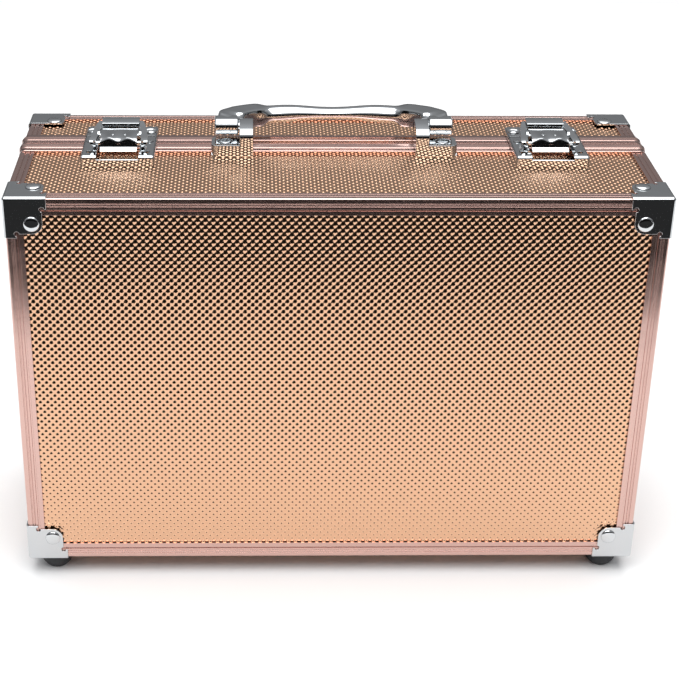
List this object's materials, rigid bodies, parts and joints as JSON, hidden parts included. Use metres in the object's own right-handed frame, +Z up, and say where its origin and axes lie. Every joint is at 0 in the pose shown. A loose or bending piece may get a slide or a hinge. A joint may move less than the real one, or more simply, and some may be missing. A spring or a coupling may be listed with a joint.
{
  "type": "makeup train case",
  "caption": "Hard makeup case with embossed metal panels, ribbed edge frames, chrome corner caps, toggle latches, a folding carry handle and a hinged lid.",
  "frame": {"origin": "on the surface the feet stand on, below the centre of the closed case's bounding box", "axes": "+X along the width, +Y from the deep base shell towards the lid shell, +Z up towards the handle side"},
  "size_m": [0.3456, 0.1336, 0.2454],
  "materials": {
    "embossed_panel": "embossed dot pattern, rose-gold anodised skin",
    "edge_extrusion": "ribbed extrusion, rose anodised",
    "chrome_hardware": "bright chrome plate",
    "hinge_steel": "nickel plated steel",
    "steel_pins": "zinc plated steel",
    "rubber_feet": "moulded black rubber",
    "lining": "black flocked foam lining"
  },
  "bodies": {
    "base": {"base_bottom_panel": "embossed_panel", "base_corner_bottom_left": "chrome_hardware", "base_corner_bottom_right": "chrome_hardware", "base_corner_rivets": "chrome_hardware", "base_corner_top_left": "chrome_hardware", "base_corner_top_right": "chrome_hardware", "base_edge_rails": "edge_extrusion", "base_face_panel": "embossed_panel", "base_face_rail_bottom": "edge_extrusion", "base_face_rail_left": "edge_extrusion", "base_face_rail_right": "edge_extrusion", "base_face_rail_top": "edge_extrusion", "base_feet": "rubber_feet", "base_foot_screws": "steel_pins", "base_hinge_leaves": "hinge_steel", "base_left_panel": "embossed_panel", "base_lining": "lining", "base_right_panel": "embossed_panel", "base_rim": "edge_extrusion", "base_small_rivets": "chrome_hardware", "base_top_panel": "embossed_panel", "handle_bracket_left": "chrome_hardware", "handle_bracket_right": "chrome_hardware", "handle_bracket_screws": "chrome_hardware", "handle_pins": "steel_pins", "hinge_pins": "steel_pins", "latch_plate_left": "chrome_hardware", "latch_plate_right": "chrome_hardware", "lever_pins": "steel_pins"},
    "lid": {"lid_bottom_panel": "embossed_panel", "lid_corner_bottom_left": "chrome_hardware", "lid_corner_bottom_right": "chrome_hardware", "lid_corner_rivets": "chrome_hardware", "lid_corner_top_left": "chrome_hardware", "lid_corner_top_right": "chrome_hardware", "lid_edge_rails": "edge_extrusion", "lid_face_panel": "embossed_panel", "lid_face_rail_bottom": "edge_extrusion", "lid_face_rail_left": "edge_extrusion", "lid_face_rail_right": "edge_extrusion", "lid_face_rail_top": "edge_extrusion", "lid_feet": "rubber_feet", "lid_foot_screws": "steel_pins", "lid_hinge_leaves": "hinge_steel", "lid_left_panel": "embossed_panel", "lid_lining": "lining", "lid_right_panel": "embossed_panel", "lid_rim": "edge_extrusion", "lid_small_rivets": "chrome_hardware", "lid_top_panel": "embossed_panel", "strike_plate_left": "chrome_hardware", "strike_plate_right": "chrome_hardware"},
    "handle": {"handle_grip": "chrome_hardware"},
    "latch_lever_left": {"claw_pin_left": "steel_pins", "latch_lever_left": "chrome_hardware"},
    "latch_lever_right": {"claw_pin_right": "steel_pins", "latch_lever_right": "chrome_hardware"},
    "latch_claw_left": {"latch_claw_left": "chrome_hardware"},
    "latch_claw_right": {"latch_claw_right": "chrome_hardware"}
  },
  "joints": [
    {"name": "lid_hinge", "type": "hinge", "parent": "base", "child": "lid", "pos_m": [0, 0.015, 0.0082], "axis": [-1, 0, 0], "range_deg": [0, 95]},
    {"name": "handle_swing", "type": "hinge", "parent": "base", "child": "handle", "pos_m": [0, 0.0145, 0.2409], "axis": [1, 0, 0], "range_deg": [0, 105]},
    {"name": "lever_lift_left", "type": "hinge", "parent": "base", "child": "latch_lever_left", "pos_m": [-0.116, 0.007, 0.238], "axis": [-1, 0, 0], "range_deg": [0, 100]},
    {"name": "lever_lift_right", "type": "hinge", "parent": "base", "child": "latch_lever_right", "pos_m": [0.116, 0.007, 0.238], "axis": [-1, 0, 0], "range_deg": [0, 100]},
    {"name": "claw_turn_left", "type": "hinge", "parent": "latch_lever_left", "child": "latch_claw_left", "pos_m": [-0.116, -0.0025, 0.2372], "axis": [1, 0, 0], "range_deg": [0, 126]},
    {"name": "claw_turn_right", "type": "hinge", "parent": "latch_lever_right", "child": "latch_claw_right", "pos_m": [0.116, -0.0025, 0.2372], "axis": [1, 0, 0], "range_deg": [0, 126]}
  ],
  "couplings": [
    {"joint": "claw_turn_left", "follows": "lever_lift_left", "ratio": 1.25},
    {"joint": "claw_turn_right", "follows": "lever_lift_right", "ratio": 1.25}
  ]
}
